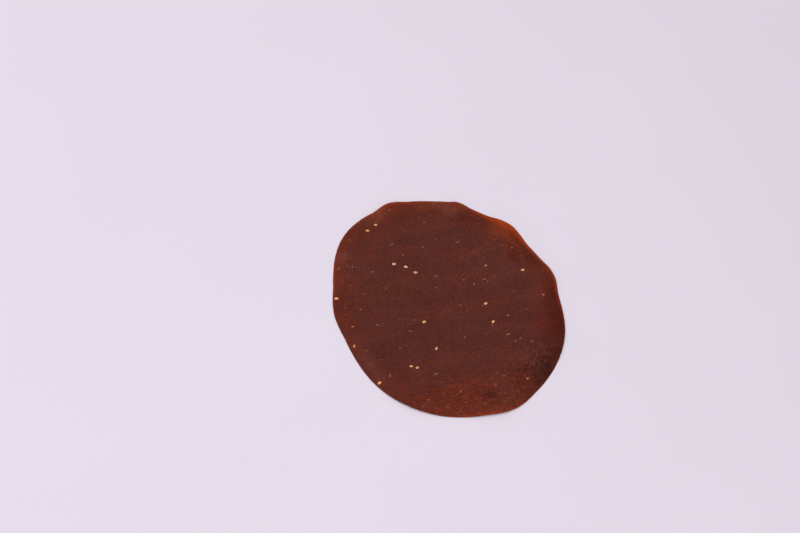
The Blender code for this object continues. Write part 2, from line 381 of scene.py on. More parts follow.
# Oval patches of other tones of the dough, and of painted shade, painted sheen and painted glow: x, y,
# the bearing of its length, half its length, half its width, how far it goes towards its colour, and
# that colour
TONE_AND_LIGHT_PATCHES = (
    # Painted glow of light through the thin rim
    (0, 87, 0, 19, 16, 0.48, DOUGH_ORANGE_AND_GLOW),
    (45, 76, -50, 9, 7, 0.2, DOUGH_ORANGE_AND_GLOW),
    # Orange streaks of the dough
    (-7, 50, 60, 24, 4, 0.12, DOUGH_ORANGE_AND_GLOW),
    (53, -37, 50, 36, 9, 0.12, DOUGH_ORANGE_AND_GLOW),
    (36, -60, 55, 22, 9, 0.09, DOUGH_ORANGE_AND_GLOW),
    # Painted glow of light through the thin rim
    (-40, 80, 25, 20, 10, 0.4, DOUGH_ORANGE_AND_GLOW),
    # Painted sheen
    (-42, 70, 35, 20, 11, 0.07, DOUGH_PAINTED_SHEEN),
    (-38, 72, 35, 11, 8, 0.06, DOUGH_PAINTED_SHEEN),
    (-45, 56, 35, 26, 14, 0.025, DOUGH_PAINTED_SHEEN),
    (-64, 58, 45, 34, 11, 0.05, DOUGH_PAINTED_SHEEN),
    (-80, 28, 95, 16, 8, 0.12, DOUGH_PAINTED_SHEEN),
    (-22, -77, 165, 14, 8, 0.045, DOUGH_PAINTED_SHEEN),
    (8, 50, 60, 42, 22, 0.025, DOUGH_PAINTED_SHEEN),
    # Painted shade, where the dough shows no grey sheen
    (75, 43, 120, 36, 24, 0.95, DOUGH_SHADE_NO_SHEEN),
    (54, 67, 140, 20, 11, 0.7, DOUGH_SHADE_NO_SHEEN),
    (82, 8, 97, 28, 17, 0.95, DOUGH_SHADE_NO_SHEEN),
    (74, -15, 75, 22, 13, 0.9, DOUGH_SHADE_NO_SHEEN),
    (14, 84, 170, 12, 7, 0.7, DOUGH_SHADE_NO_SHEEN),
    (18, 71, 136, 16, 7, 0.65, DOUGH_SHADE_NO_SHEEN),
    (43, -55, 50, 44, 20, 0.5, DOUGH_SHADE_NO_SHEEN),
    # Painted shade
    (-29, 71, 70, 13, 9, 0.4, DOUGH_SHADE_DARK),
    (26, 78, -15, 17, 7, 0.3, DOUGH_SHADE_DARK),
    (62, -43, 50, 9, 7, 0.45, DOUGH_SHADE_DARK),
    (81, 7, 90, 29, 15, 0.65, DOUGH_SHADE_DARK),
    (57, 64, 140, 16, 7, 0.08, DOUGH_SHADE_DARK),
    (18, 71, 136, 16, 7, 0.16, DOUGH_SHADE_DARK),
    (72, 36, 115, 24, 12, 0.12, DOUGH_SHADE_DARK),
    (78, 6, 123, 22, 14, 0.3, DOUGH_SHADE_DARK),
    (67, -9, 80, 22, 14, 0.13, DOUGH_SHADE_DARK),
    # Darker patches of the dough
    (-80, -38, 115, 13, 6, 0.2, DOUGH_SHADE_DARK),
    (-42, -47, 55, 26, 12, 0.12, DOUGH_SHADE_DARK),
    # An olive band and a warm patch of the dough
    (-43, -22, 55, 46, 13, 0.34, DOUGH_OLIVE),
    (-65, -37, 55, 12, 7, 0.35, DOUGH_WARM_AND_GLOW),
    # Painted sheen
    (-81, -22, 105, 11, 7, 0.035, FLOUR_AND_SHEEN),
)


def feed(tree, socket, value):
    """Links another node's result to a socket, or sets the socket to a plain value."""
    if isinstance(value, bpy.types.NodeSocket):
        tree.links.new(value, socket)
    elif socket.type == "RGBA":
        socket.default_value = (*value, 1)
    else:
        socket.default_value = value


def place(tree, kind, settings=None, **fed):
    """A node with its settings made and its named sockets fed; underscores stand for spaces."""
    node = tree.nodes.new(kind)
    for name, value in (settings or {}).items():
        setattr(node, name, value)
    for name, value in fed.items():
        feed(tree, node.inputs[name.replace("_", " ")], value)
    return node


def reckon(tree, operation, *values):
    """The result of one Math node."""
    node = place(tree, "ShaderNodeMath", {"operation": operation})
    for socket, value in zip(node.inputs, values):
        feed(tree, socket, value)
    return node.outputs[0]


def point(tree, x, y, z=0.0):
    """A vector made of three numbers or results."""
    return place(tree, "ShaderNodeCombineXYZ", X=x, Y=y, Z=z).outputs[0]


def enlarge(tree, vector, scale):
    """A vector times a number."""
    node = place(tree, "ShaderNodeVectorMath", {"operation": "SCALE"}, Vector=vector, Scale=scale)
    return node.outputs[0]


def add(tree, first, second):
    """The sum of two vectors."""
    node = place(tree, "ShaderNodeVectorMath", {"operation": "ADD"})
    feed(tree, node.inputs[0], first)
    feed(tree, node.inputs[1], second)
    return node.outputs[0]


def noise(tree, vector, detail=2.0):
    """Smooth noise from 0 to 1 with about one swing in each unit of the vector."""
    return place(tree, "ShaderNodeTexNoise", Vector=vector, Scale=1.0, Detail=detail).outputs[0]


def patches(tree, place_in_mm, size, detail=2.0):
    """Smooth noise from 0 to 1 in patches of about a size."""
    return noise(tree, enlarge(tree, place_in_mm, reckon(tree, "DIVIDE", 1.0, size)), detail)


def smooth_step(tree, value, start, end):
    """Goes smoothly from 0 to 1 as the value goes from start to end."""
    node = place(tree, "ShaderNodeMapRange", {"interpolation_type": "SMOOTHSTEP"}, Value=value)
    feed(tree, node.inputs["From Min"], start)
    feed(tree, node.inputs["From Max"], end)
    return node.outputs[0]


def along_and_across(tree, x, y, bearing):
    """How far a place lies along a bearing in degrees, and how far across it."""
    cosine = math.cos(math.radians(bearing))
    sine = math.sin(math.radians(bearing))
    along = reckon(tree, "MULTIPLY_ADD", x, cosine, reckon(tree, "MULTIPLY", y, sine))
    across = reckon(tree, "MULTIPLY_ADD", y, cosine, reckon(tree, "MULTIPLY", x, -sine))
    return along, across


def in_marks(tree, along, across, size):
    """A place counted in the lengths and widths of a long mark."""
    length, width = size
    return point(tree, reckon(tree, "DIVIDE", along, length), reckon(tree, "DIVIDE", across, width))


def new_tree(name, kind, inputs, outputs):
    """A node tree, its named inputs and its named outputs."""
    tree = bpy.data.node_groups.new(name, kind)
    for label, socket_type in inputs.items():
        tree.interface.new_socket(name=label, in_out="INPUT", socket_type="NodeSocket" + socket_type)
    for label, socket_type in outputs.items():
        tree.interface.new_socket(name=label, in_out="OUTPUT", socket_type="NodeSocket" + socket_type)
    return tree, tree.nodes.new("NodeGroupInput").outputs, tree.nodes.new("NodeGroupOutput").inputs


def read(tree, name):
    """A number stored on the points under a name."""
    node = place(tree, "GeometryNodeInputNamedAttribute", {"data_type": "FLOAT"}, Name=name)
    return node.outputs["Attribute"]


def store(tree, geometry, name, value):
    """The geometry with a number stored on its points under a name."""
    settings = {"data_type": "FLOAT", "domain": "POINT"}
    node = place(tree, "GeometryNodeStoreNamedAttribute", settings, Geometry=geometry, Name=name)
    feed(tree, node.inputs["Value"], value)
    return node.outputs["Geometry"]


def hold(tree, geometry, **fields):
    """The geometry, and its fields as they are before its points move."""
    node = place(tree, "GeometryNodeCaptureAttribute", Geometry=geometry)
    held = []
    for name, value in fields.items():
        node.capture_items.new("FLOAT", name)
        feed(tree, node.inputs[name], value)
        held.append(node.outputs[name])
    return node.outputs["Geometry"], held


def make_by_nodes(name, tree, **given):
    """A plain mesh object that a tree makes from its named inputs."""
    made = bpy.data.objects.new(name, bpy.data.meshes.new(name))
    bpy.context.scene.collection.objects.link(made)
    modifier = made.modifiers.new(name, "NODES")
    modifier.node_group = tree
    for item in tree.interface.items_tree:
        if item.in_out == "INPUT":
            modifier[item.identifier] = given[item.name.replace(" ", "_")]
    evaluated = made.evaluated_get(bpy.context.evaluated_depsgraph_get())
    mesh = bpy.data.meshes.new_from_object(evaluated)
    made.modifiers.clear()
    made.data = mesh
    return made


swell_tree, given, result = new_tree(
    "Swell at a bearing",
    "GeometryNodeTree",
    {"Bearing": "Float", "Centre": "Float", "Height": "Float", "Half width": "Float"},
    {"Swell": "Float"},
)
away = reckon(swell_tree, "SUBTRACT", given["Bearing"], given["Centre"])
away = reckon(swell_tree, "ABSOLUTE", reckon(swell_tree, "WRAP", away, 180.0, -180.0))
part_way = reckon(swell_tree, "MINIMUM", reckon(swell_tree, "DIVIDE", away, given["Half width"]), 1.0)
wave = reckon(swell_tree, "COSINE", reckon(swell_tree, "MULTIPLY", part_way, math.pi))
wave = reckon(swell_tree, "MULTIPLY_ADD", wave, 0.5, 0.5)
feed(swell_tree, result["Swell"], reckon(swell_tree, "MULTIPLY", wave, given["Height"]))


def swell_by_nodes(tree, bearing, rows):
    """The same sum of bumps as swell makes, with one group node for each."""
    total = 0.0
    for centre, height, half_width in rows:
        node = place(tree, "GeometryNodeGroup", {"node_tree": swell_tree}, Bearing=bearing)
        feed(tree, node.inputs["Centre"], centre)
        feed(tree, node.inputs["Height"], height)
        feed(tree, node.inputs["Half width"], half_width)
        total = reckon(tree, "ADD", node.outputs["Swell"], total)
    return total


def distance_to_grains(tree, marks, half_length, place_on_disc):
    """Distance in mm from each point to the line down the middle of the nearest grain."""
    info = place(tree, "GeometryNodeObjectInfo", {"transform_space": "RELATIVE"}, Object=marks)
    line = place(tree, "GeometryNodeMeshLine", {"mode": "END_POINTS"}, Count=2)
    feed(tree, line.inputs["Start Location"], (-half_length * MM, 0, 0))
    feed(tree, line.inputs["Offset"], (half_length * MM, 0, 0))
    laid = place(
        tree,
        "GeometryNodeInstanceOnPoints",
        Points=info.outputs["Geometry"],
        Instance=line.outputs["Mesh"],
        Rotation=point(tree, 0.0, 0.0, read(tree, "turn")),
        Scale=read(tree, "size"),
    )
    lines = place(tree, "GeometryNodeRealizeInstances", Geometry=laid.outputs[0]).outputs[0]
    near = place(tree, "GeometryNodeProximity", {"target_element": "EDGES"})
    feed(tree, near.inputs[0], lines)
    feed(tree, near.inputs["Sample Position"], place_on_disc)
    return reckon(tree, "DIVIDE", near.outputs["Distance"], MM)


tree, given, result = new_tree(
    "Rolled dough",
    "GeometryNodeTree",
    {
        "Round radius": "Float",
        "Middle thickness": "Float",
        "Rim thickness": "Float",
        "Edge rounding": "Float",
        "Edge unevenness": "Float",
        "Roll height": "Float",
        "Roll spacing": "Float",
        "Dimple depth": "Float",
        "Streak depth": "Float",
        "Pucker depth": "Float",
        "Collar height": "Float",
        "Rows": "Int",
        "Edge rows": "Int",
        "Sesame marks": "Object",
        "Cumin marks": "Object",
        "Dough": "Material",
    },
    {"Geometry": "Geometry"},
)
dough_tree = tree

# Two square lattices, one for each face, whose square rows become rings
count = reckon(tree, "MULTIPLY_ADD", given["Rows"], 2.0, 1.0)
lattice = place(
    tree, "GeometryNodeMeshGrid", Size_X=2.0, Size_Y=2.0, Vertices_X=count, Vertices_Y=count
).outputs["Mesh"]
underside = place(tree, "GeometryNodeFlipFaces", Mesh=lattice).outputs["Mesh"]
both = place(tree, "GeometryNodeJoinGeometry")
tree.links.new(store(tree, lattice, "side", 1.0), both.inputs[0])
tree.links.new(store(tree, underside, "side", -1.0), both.inputs[0])
side = read(tree, "side")
square = place(tree, "ShaderNodeSeparateXYZ", Vector=place(tree, "GeometryNodeInputPosition").outputs[0])
u = square.outputs["X"]
v = square.outputs["Y"]
u_size = reckon(tree, "ABSOLUTE", u)
v_size = reckon(tree, "ABSOLUTE", v)
row = reckon(tree, "MULTIPLY", reckon(tree, "MAXIMUM", u_size, v_size), given["Rows"])
row = reckon(tree, "ROUND", row)
from_x = reckon(tree, "MULTIPLY", reckon(tree, "DIVIDE", v, u), 45.0)
from_x = reckon(tree, "MULTIPLY_ADD", reckon(tree, "LESS_THAN", u, 0.0), 180.0, from_x)
from_y = reckon(tree, "MULTIPLY_ADD", reckon(tree, "DIVIDE", u, v), -45.0, 90.0)
from_y = reckon(tree, "MULTIPLY_ADD", reckon(tree, "LESS_THAN", v, 0.0), 180.0, from_y)
by_x = reckon(tree, "GREATER_THAN", reckon(tree, "ADD", u_size, DIAGONAL_MARGIN), v_size)
bearing = reckon(tree, "MULTIPLY_ADD", reckon(tree, "SUBTRACT", from_x, from_y), by_x, from_y)
turn = reckon(tree, "RADIANS", bearing)
cosine = reckon(tree, "COSINE", turn)
sine = reckon(tree, "SINE", turn)

# The outline, and the last rows leaning over to round the edge off
on_rim = enlarge(tree, point(tree, cosine, sine), EDGE_SWINGS)
full = reckon(tree, "ADD", swell_by_nodes(tree, bearing, OUTLINE_LOBES), given["Round radius"])
frayed = reckon(tree, "SUBTRACT", noise(tree, on_rim), 0.5)
full = reckon(tree, "MULTIPLY_ADD", frayed, given["Edge unevenness"], full)
flat_rows = reckon(tree, "SUBTRACT", given["Rows"], given["Edge rows"])
lean = reckon(tree, "MAXIMUM", reckon(tree, "SUBTRACT", row, flat_rows), 0.0)
lean = reckon(tree, "MULTIPLY", reckon(tree, "DIVIDE", lean, given["Edge rows"]), math.pi / 2)
inner = reckon(tree, "SUBTRACT", full, given["Edge rounding"])
part_way = reckon(tree, "DIVIDE", reckon(tree, "MINIMUM", row, flat_rows), flat_rows)
radius = reckon(tree, "MULTIPLY", inner, part_way)
radius = reckon(tree, "MULTIPLY_ADD", reckon(tree, "SINE", lean), given["Edge rounding"], radius)
share = reckon(tree, "DIVIDE", radius, full)
inset = reckon(tree, "SUBTRACT", full, radius)
x = reckon(tree, "MULTIPLY", radius, cosine)
y = reckon(tree, "MULTIPLY", radius, sine)
along, across = along_and_across(tree, x, y, ROLL_BEARING)

# The underside: waves that lift the rim, and bulges just inside a rim that lies down
rise = reckon(tree, "MAXIMUM", reckon(tree, "SUBTRACT", share, WAVE_START), 0.0)
rise = reckon(tree, "POWER", reckon(tree, "DIVIDE", rise, 1 - WAVE_START), 2.0)
fall = reckon(tree, "ABSOLUTE", reckon(tree, "SUBTRACT", share, BULGE_MIDDLE))
fall = reckon(tree, "MINIMUM", reckon(tree, "DIVIDE", fall, BULGE_REACH), 1.0)
fall = reckon(tree, "COSINE", reckon(tree, "MULTIPLY", fall, math.pi))
fall = reckon(tree, "MULTIPLY_ADD", fall, 0.5, 0.5)
lift = reckon(tree, "MULTIPLY", swell_by_nodes(tree, bearing, RIM_WAVES), rise)
lift = reckon(tree, "MULTIPLY_ADD", swell_by_nodes(tree, bearing, BULGES), fall, lift)

# The thickness, which thins to the rim and keeps faint ridges of the roller
thinning = reckon(tree, "SUBTRACT", given["Rim thickness"], given["Middle thickness"])
thick = reckon(tree, "MULTIPLY", reckon(tree, "POWER", share, 3.0), thinning)
thick = reckon(tree, "ADD", thick, given["Middle thickness"])
ridge = reckon(tree, "MULTIPLY", across, 2 * math.pi)
ridge = reckon(tree, "SINE", reckon(tree, "DIVIDE", ridge, given["Roll spacing"]))
half = reckon(tree, "MULTIPLY", reckon(tree, "MULTIPLY_ADD", ridge, given["Roll height"], thick), 0.5)
upright = reckon(tree, "MULTIPLY", half, reckon(tree, "COSINE", lean))
height = reckon(tree, "MULTIPLY_ADD", upright, side, reckon(tree, "ADD", lift, half))

# The top alone is uneven: dimples of drying, streaks of the roller, puckers, and a collar of
# dough pushed up round each grain
spot = point(tree, x, y)
dimple = reckon(tree, "SUBTRACT", patches(tree, spot, DIMPLE_SIZE), 0.5)
relief = reckon(tree, "MULTIPLY", dimple, given["Dimple depth"])
streak = reckon(tree, "SUBTRACT", noise(tree, in_marks(tree, along, across, STREAK_SIZE)), 0.5)
relief = reckon(tree, "MULTIPLY_ADD", streak, given["Streak depth"], relief)
puckered = swell_by_nodes(tree, bearing, ((PUCKER_BEARING, 1.0, PUCKER_SPREAD),))
puckered = reckon(tree, "MULTIPLY", puckered, smooth_step(tree, share, *PUCKERED_FROM))
outward, sideways = along_and_across(tree, x, y, PUCKER_BEARING)
pucker = noise(tree, in_marks(tree, outward, sideways, PUCKER_SIZE))
pucker = reckon(tree, "MULTIPLY", reckon(tree, "SUBTRACT", pucker, 0.5), puckered)
relief = reckon(tree, "MULTIPLY_ADD", pucker, given["Pucker depth"], relief)
place_on_disc = enlarge(tree, add(tree, spot, disc_middle), MM)
for marks, sizes in ((given["Sesame marks"], SESAME_COLLAR), (given["Cumin marks"], CUMIN_COLLAR)):
    half_length, collar_start, collar_end = sizes
    away = distance_to_grains(tree, marks, half_length, place_on_disc)
    collar = smooth_step(tree, away, collar_end, collar_start)
    relief = reckon(tree, "MULTIPLY_ADD", collar, given["Collar height"], relief)
relief = reckon(tree, "MULTIPLY", relief, smooth_step(tree, inset, *RELIEF_FADE))
on_top = reckon(tree, "MAXIMUM", side, 0.0)
height = reckon(tree, "MULTIPLY_ADD", relief, on_top, height)

# What the dough's colour needs to know of each place, kept before the points move
# Where the painted glow, the pale wrinkles and the painted shade lie along the rim
thin = swell_by_nodes(tree, bearing, GLOW_STRETCHES)
chafed = swell_by_nodes(tree, bearing, PALE_WRINKLE_STRETCHES)
chafed = reckon(tree, "MULTIPLY", chafed, smooth_step(tree, share, *PALE_WRINKLE_FROM))
chafed = reckon(tree, "MULTIPLY", chafed, smooth_step(tree, share, *PALE_WRINKLE_UP_TO))
damp = swell_by_nodes(tree, bearing, SHADED_STRETCHES)
damp = reckon(tree, "MULTIPLY", damp, smooth_step(tree, inset, *SHADED_RIM))
geometry, held = hold(
    tree, both.outputs[0], Inset=inset, Thin=thin, Pucker=puckered, Chafed=chafed, Damp=damp
)
raised = add(tree, place_on_disc, point(tree, 0.0, 0.0, reckon(tree, "MULTIPLY", height, MM)))
geometry = place(tree, "GeometryNodeSetPosition", Geometry=geometry, Position=raised).outputs[0]
for name, value in zip(("inset", "thin", "pucker", "chafed", "damp"), held):
    geometry = store(tree, geometry, name, value)
geometry = place(tree, "GeometryNodeMergeByDistance", Geometry=geometry, Distance=SEAM_GAP * MM)
geometry = geometry.outputs["Geometry"]
geometry = place(tree, "GeometryNodeSetShadeSmooth", Geometry=geometry).outputs[0]
geometry = place(tree, "GeometryNodeRealizeInstances", Geometry=geometry).outputs[0]
geometry = place(tree, "GeometryNodeSetMaterial", Geometry=geometry, Material=given["Dough"]).outputs[0]
feed(tree, result["Geometry"], geometry)


def new_material(name):
    """A material, its node tree and its shader."""
    material = bpy.data.materials.new(name)
    material.use_nodes = True
    return material, material.node_tree, material.node_tree.nodes["Principled BSDF"]


def blend(tree, share, first, second):
    """A colour between two, by a share from 0 to 1. Inputs 6 and 7 of a Mix node are colours."""
    node = place(tree, "ShaderNodeMix", {"data_type": "RGBA"})
    feed(tree, node.inputs[0], share)
    feed(tree, node.inputs[6], first)
    feed(tree, node.inputs[7], second)
    return node.outputs[2]


def stored(tree, name):
    """A number that the mesh carries under a name."""
    return place(tree, "ShaderNodeAttribute", {"attribute_name": name}).outputs["Fac"]


def position_in_mm(tree):
    """The place on the part, in mm."""
    return enlarge(tree, place(tree, "ShaderNodeTexCoord").outputs["Object"], 1 / MM)


# Flour dries unevenly, so every tone wanders lighter and darker in patches
tone_group, given, result = new_tree(
    "Uneven tone",
    "ShaderNodeTree",
    {"Color": "Color", "Position": "Vector", "Patch size": "Float", "Strength": "Float"},
    {"Color": "Color"},
)
patch = patches(tone_group, given["Position"], given["Patch size"])
patch = reckon(tone_group, "SUBTRACT", patch, 0.5)
lightness = reckon(tone_group, "MULTIPLY_ADD", patch, given["Strength"], 1.0)
feed(tone_group, result["Color"], enlarge(tone_group, given["Color"], lightness))

# A dried, milled surface: fine grain over a coarser leathery one, with heights in mm
relief_group, given, result = new_tree(
    "Milled relief",
    "ShaderNodeTree",
    {
        "Position": "Vector",
        "Grain size": "Float",
        "Grain depth": "Float",
        "Leather size": "Float",
        "Leather depth": "Float",
    },
    {"Height": "Float"},
)
grain = patches(relief_group, given["Position"], given["Grain size"])
leather = patches(relief_group, given["Position"], given["Leather size"])
leather = reckon(relief_group, "MULTIPLY", leather, given["Leather depth"])
height = reckon(relief_group, "MULTIPLY_ADD", grain, given["Grain depth"], leather)
feed(relief_group, result["Height"], height)

# An oval patch, used for tones of the dough and for painted shade, sheen and glow: 1 in its middle,
# fading out to an oval that noise frays
patch_group, given, result = new_tree(
    "Oval patch",
    "ShaderNodeTree",
    {
        "Along": "Float",
        "Across": "Float",
        "Half length": "Float",
        "Half width": "Float",
        "Fray": "Float",
    },
    {"Share": "Float"},
)
lengths_away = reckon(patch_group, "DIVIDE", given["Along"], given["Half length"])
widths_away = reckon(patch_group, "DIVIDE", given["Across"], given["Half width"])
away = place(patch_group, "ShaderNodeVectorMath", {"operation": "LENGTH"})
feed(patch_group, away.inputs[0], point(patch_group, lengths_away, widths_away))
away = reckon(patch_group, "ADD", away.outputs["Value"], given["Fray"])
feed(patch_group, result["Share"], smooth_step(patch_group, away, 1.0, 0.0))


def uneven(tree, color, position, patch_size, strength):
    """The colour, lighter and darker in patches."""
    node = place(tree, "ShaderNodeGroup", {"node_tree": tone_group}, Color=color, Position=position)
    feed(tree, node.inputs["Patch size"], patch_size)
    feed(tree, node.inputs["Strength"], strength)
    return node.outputs["Color"]


def milled(tree, position, grain_size, grain_depth, leather_size, leather_depth):
    """The height in mm of a dried, milled surface."""
    node = place(tree, "ShaderNodeGroup", {"node_tree": relief_group}, Position=position)
    feed(tree, node.inputs["Grain size"], grain_size)
    feed(tree, node.inputs["Grain depth"], grain_depth)
    feed(tree, node.inputs["Leather size"], leather_size)
    feed(tree, node.inputs["Leather depth"], leather_depth)
    return node.outputs["Height"]


def bump_by(tree, shader, height):
    """Makes a height in mm show on the shader."""
    node = place(tree, "ShaderNodeBump", Height=height, Distance=MM)
    feed(tree, shader.inputs["Normal"], node.outputs[0])


def oval_patch(tree, x_away, y_away, bearing, half_length, half_width, fray):
    """How much a place belongs to an oval patch, used for tones and for painted shade, sheen and glow.
    """
    along, across = along_and_across(tree, x_away, y_away, bearing)
    node = place(tree, "ShaderNodeGroup", {"node_tree": patch_group}, Along=along, Across=across)
    feed(tree, node.inputs["Fray"], fray)
    feed(tree, node.inputs["Half length"], half_length)
    feed(tree, node.inputs["Half width"], half_width)
    return node.outputs["Share"]


dough, tree, shader = new_material("dough")
position = position_in_mm(tree)
axes = place(tree, "ShaderNodeSeparateXYZ", Vector=position)
x_place = axes.outputs["X"]
y_place = axes.outputs["Y"]
along, across = along_and_across(tree, x_place, y_place, ROLL_BEARING)
inset = stored(tree, "inset")
thin = stored(tree, "thin")
puckered = stored(tree, "pucker")
chafed = stored(tree, "chafed")

# It is warmer towards the rim, a painted glow of light through the thin dough, and warmer too along the
# streaks and bands of the roller
streak = noise(tree, in_marks(tree, along, across, TONE_STREAK), detail=3.0)
streak = reckon(tree, "SUBTRACT", streak, 0.5)
band_at = in_marks(tree, along, across, TONE_BAND)
band = reckon(tree, "SUBTRACT", noise(tree, band_at), 0.5)
warmth_and_glow = smooth_step(tree, inset, *WARM_GLOW_RIM)
warmth_and_glow = reckon(tree, "ADD", warmth_and_glow, smooth_step(tree, inset, *WARMEST_GLOW_RIM))
warmth_and_glow = reckon(tree, "MULTIPLY", warmth_and_glow, reckon(tree, "MULTIPLY_ADD", thin, *WARM_BY_GLOW))
streaked = smooth_step(tree, band, *STREAKED_BAND)
streaked = reckon(tree, "MULTIPLY_ADD", streaked, *STREAKED_BY_BAND)
warmth_and_glow = reckon(tree, "MULTIPLY_ADD", streak, streaked, warmth_and_glow)
warmth_and_glow = reckon(tree, "MULTIPLY_ADD", band, BAND_SHARE, warmth_and_glow)
color = blend(tree, warmth_and_glow, DOUGH_MIDDLE, DOUGH_WARM_AND_GLOW)

# Flour dust greys it, least at the rim and where it puckered
dusty = smooth_step(tree, inset, *DUSTY_MIDDLE)
dusty = reckon(tree, "MULTIPLY_ADD", dusty, *DUSTY_BY_INSET)
dusty = reckon(tree, "MULTIPLY", dusty, reckon(tree, "MULTIPLY_ADD", puckered, *DUSTY_BY_PUCKERS))
greyed = smooth_step(tree, patches(tree, position, GREYED_SIZE, detail=3.0), *GREYED_NOISE)
greyed = reckon(tree, "MULTIPLY", reckon(tree, "MULTIPLY", greyed, dusty), GREYED_SHARE)
color = blend(tree, greyed, color, DOUGH_GREYED)

# The oval patches of other tones and of painted shade, sheen and glow, the painted shade along the rim,
# and the painted glow of the thin edge that lets light through
fray = reckon(tree, "MULTIPLY_ADD", patches(tree, position, FRAY_SIZE), *FRAYED_BY_NOISE)
for x, y, turn, half_length, half_width, share, tint in TONE_AND_LIGHT_PATCHES:
    x_away = reckon(tree, "SUBTRACT", x_place, x)
    y_away = reckon(tree, "SUBTRACT", y_place, y)
    patch = oval_patch(tree, x_away, y_away, turn, half_length, half_width, fray)
    color = blend(tree, reckon(tree, "MULTIPLY", patch, share), color, tint)
# Painted shade along the rim
color = blend(tree, reckon(tree, "MULTIPLY", stored(tree, "damp"), SHADE_SHARE), color, DOUGH_SHADE_DARK)
# The painted glow of light through the thin edge
edge = smooth_step(tree, inset, reckon(tree, "MULTIPLY_ADD", thin, *EDGE_GLOW_WIDTH), 0.0)
edge = reckon(tree, "MULTIPLY", edge, reckon(tree, "MULTIPLY_ADD", thin, *EDGE_GLOW_SHARE))
color = blend(tree, edge, color, DOUGH_ORANGE_AND_GLOW)

# Browned blotches among the puckers, pale wrinkles that are partly painted sheen, and hair streaks
blotch = noise(tree, in_marks(tree, along, across, BLOTCH_SIZE), detail=4.0)
blotch = smooth_step(tree, blotch, *BLOTCH_NOISE)
color = blend(tree, reckon(tree, "MULTIPLY", blotch, puckered), color, DOUGH_BROWNED)
lengthways, sideways = along_and_across(tree, x_place, y_place, WRINKLE_BEARING)
wrinkle_at = in_marks(tree, lengthways, sideways, WRINKLE_SIZE)
wrinkle = noise(tree, wrinkle_at)
pale = reckon(tree, "MULTIPLY", smooth_step(tree, wrinkle, *WRINKLE_NOISE), chafed)
color = blend(tree, reckon(tree, "MULTIPLY", pale, PALE_WRINKLE_SHARE), color, DOUGH_PALE_WRINKLE)
wrinkle_tone_size, wrinkle_tone_strength = PALE_WRINKLE_TONE
wrinkle_tone = reckon(tree, "MULTIPLY", chafed, wrinkle_tone_strength)
color = uneven(tree, color, wrinkle_at, wrinkle_tone_size, wrinkle_tone)
hair = noise(tree, in_marks(tree, along, across, HAIR_STREAK), detail=1.0)
hair = smooth_step(tree, hair, *HAIR_NOISE)
hair = reckon(tree, "MULTIPLY", hair, smooth_step(tree, band, *HAIRY_BAND))
hair = reckon(tree, "MULTIPLY", hair, reckon(tree, "MULTIPLY_ADD", puckered, *HAIRY_BY_PUCKERS))
color = blend(tree, hair, color, DOUGH_BROWNED)

# Dark husk of the millet, and crumbs of broken seed here and there
husk = smooth_step(tree, patches(tree, position, HUSK_SIZE, detail=0.0), *HUSK_NOISE)
color = blend(tree, husk, color, DOUGH_HUSK)
cells = place(tree, "ShaderNodeTexVoronoi", {"voronoi_dimensions": "2D"}, Vector=position)
feed(tree, cells.inputs["Scale"], 1 / CRUMB_SPACING)
chosen = place(tree, "ShaderNodeSeparateColor", Color=cells.outputs["Color"]).outputs[0]
chosen = smooth_step(tree, chosen, *CRUMB_CHOICE)
crumb = smooth_step(tree, cells.outputs["Distance"], *CRUMB_REACH)
crumb = reckon(tree, "MULTIPLY", crumb, chosen)
color = blend(tree, crumb, color, SEED_CRUMB)

# Light and dark from the milled grain up to broad clouds, and a bloom of flour over it all with painted
# glints among the puckers
grain_at = in_marks(tree, along, across, TONE_GRAIN)
grit_size, grit_strength = GRIT_TONE
grit = reckon(tree, "MULTIPLY", reckon(tree, "POWER", puckered, 2.0), grit_strength)
for where, patch_size, strength in (
    (grain_at, *GRAIN_TONE),
    (position, grit_size, grit),
    (position, *SPOT_TONE),
    (band_at, *BAND_TONE),
    (position, *CLOUD_TONE),
):
    color = uneven(tree, color, where, patch_size, strength)
bloom = smooth_step(tree, noise(tree, grain_at, detail=3.0), *BLOOM_NOISE)
bloom = reckon(tree, "MULTIPLY", reckon(tree, "MULTIPLY", bloom, dusty), BLOOM_SHARE)
# Painted glints among the puckers
glint_flecks = smooth_step(tree, patches(tree, position, GLINT_FLECK_SIZE), *GLINT_FLECK_NOISE)
glint_share = reckon(tree, "MULTIPLY_ADD", puckered, *GLINTS_BY_PUCKERS)
bloom = reckon(tree, "MULTIPLY_ADD", glint_flecks, glint_share, bloom)
color = blend(tree, bloom, color, FLOUR_AND_SHEEN)
feed(tree, shader.inputs["Base Color"], color)

# Satin, duller where it is worn, with the grain, the streaks and the wrinkles in its surface
worn = patches(tree, position, WORN_SIZE)
feed(tree, shader.inputs["Roughness"], reckon(tree, "MULTIPLY_ADD", worn, *ROUGH_BY_WEAR))
shader.inputs["Specular IOR Level"].default_value = DOUGH_GLOSS
wrinkled = reckon(tree, "MULTIPLY", reckon(tree, "ADD", puckered, chafed), WRINKLE_DEPTH)
relief = milled(tree, position, *DOUGH_RELIEF)
relief = reckon(tree, "MULTIPLY_ADD", streak, STREAK_RELIEF, relief)
bump_by(tree, shader, reckon(tree, "MULTIPLY_ADD", wrinkle, wrinkled, relief))

